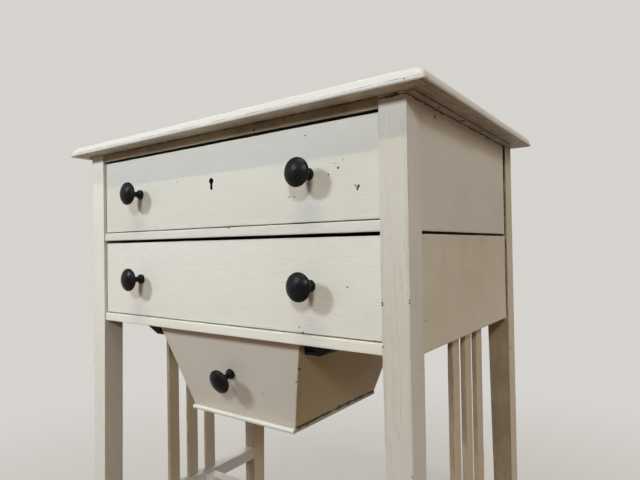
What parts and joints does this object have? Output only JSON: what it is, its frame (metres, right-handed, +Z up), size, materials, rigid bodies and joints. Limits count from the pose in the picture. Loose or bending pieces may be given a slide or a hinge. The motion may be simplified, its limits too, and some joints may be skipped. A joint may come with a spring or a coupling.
{
  "type": "sewing table",
  "caption": "Cream-painted wooden sewing table with stacked drawers, black knobs and a sloping work box that hangs and slides below.",
  "frame": {"origin": "on the floor, in the middle of the overall width and depth", "axes": "+Z up, +X to the right of a viewer at the front, front faces -Y"},
  "size_m": [0.56, 0.3726, 0.747],
  "materials": {
    "painted_wood": "brushed cream paint, worn at the edges",
    "bare_wood": "unpainted, aged",
    "black_wood": "black paint, satin",
    "lock_brass": "tarnished",
    "steel": "dull"
  },
  "bodies": {
    "carcase": {"back_panel": "bare_wood", "bottom_rail": "painted_wood", "box_runner_screws": "steel", "cross_stretcher": "painted_wood", "drawer_stops": "bare_wood", "left_box_runner": "black_wood", "left_front_leg": "painted_wood", "left_front_slat": "painted_wood", "left_kicker": "bare_wood", "left_lower_runner": "bare_wood", "left_lower_side_board": "painted_wood", "left_middle_slat": "painted_wood", "left_rear_leg": "painted_wood", "left_rear_slat": "painted_wood", "left_stretcher": "painted_wood", "left_upper_runner": "bare_wood", "left_upper_side_board": "painted_wood", "middle_rail": "painted_wood", "rear_rail": "bare_wood", "right_box_runner": "black_wood", "right_front_leg": "painted_wood", "right_front_slat": "painted_wood", "right_kicker": "bare_wood", "right_lower_runner": "bare_wood", "right_lower_side_board": "painted_wood", "right_middle_slat": "painted_wood", "right_rear_leg": "painted_wood", "right_rear_slat": "painted_wood", "right_stretcher": "painted_wood", "right_upper_runner": "bare_wood", "right_upper_side_board": "painted_wood", "top_board": "painted_wood", "top_rail": "painted_wood", "top_screws": "steel", "top_strips": "painted_wood"},
    "upper_drawer": {"lock_case": "lock_brass", "lock_screws": "steel", "upper_drawer_back": "bare_wood", "upper_drawer_bottom": "bare_wood", "upper_drawer_front": "painted_wood", "upper_drawer_left_knob": "black_wood", "upper_drawer_left_side": "bare_wood", "upper_drawer_right_knob": "black_wood", "upper_drawer_right_side": "bare_wood"},
    "lock_bolt": {"lock_bolt": "steel"},
    "lower_drawer": {"lower_drawer_back": "bare_wood", "lower_drawer_bottom": "bare_wood", "lower_drawer_front": "painted_wood", "lower_drawer_left_knob": "black_wood", "lower_drawer_left_side": "bare_wood", "lower_drawer_right_knob": "black_wood", "lower_drawer_right_side": "bare_wood"},
    "work_box": {"box_back": "painted_wood", "box_bottom": "painted_wood", "box_front": "painted_wood", "box_knob": "black_wood", "left_box_lip": "black_wood", "left_box_side": "painted_wood", "right_box_lip": "black_wood", "right_box_side": "painted_wood"}
  },
  "joints": [
    {"name": "upper_drawer_slide", "type": "slide", "parent": "carcase", "child": "upper_drawer", "axis": [0, -1, 0], "range_m": [0, 0.22]},
    {"name": "lower_drawer_slide", "type": "slide", "parent": "carcase", "child": "lower_drawer", "axis": [0, -1, 0], "range_m": [0, 0.22]},
    {"name": "work_box_slide", "type": "slide", "parent": "carcase", "child": "work_box", "axis": [0, -1, 0], "range_m": [0, 0.17]},
    {"name": "lock_bolt_slide", "type": "slide", "parent": "upper_drawer", "child": "lock_bolt", "axis": [0, 0, 1], "range_m": [0, 0.008]}
  ]
}
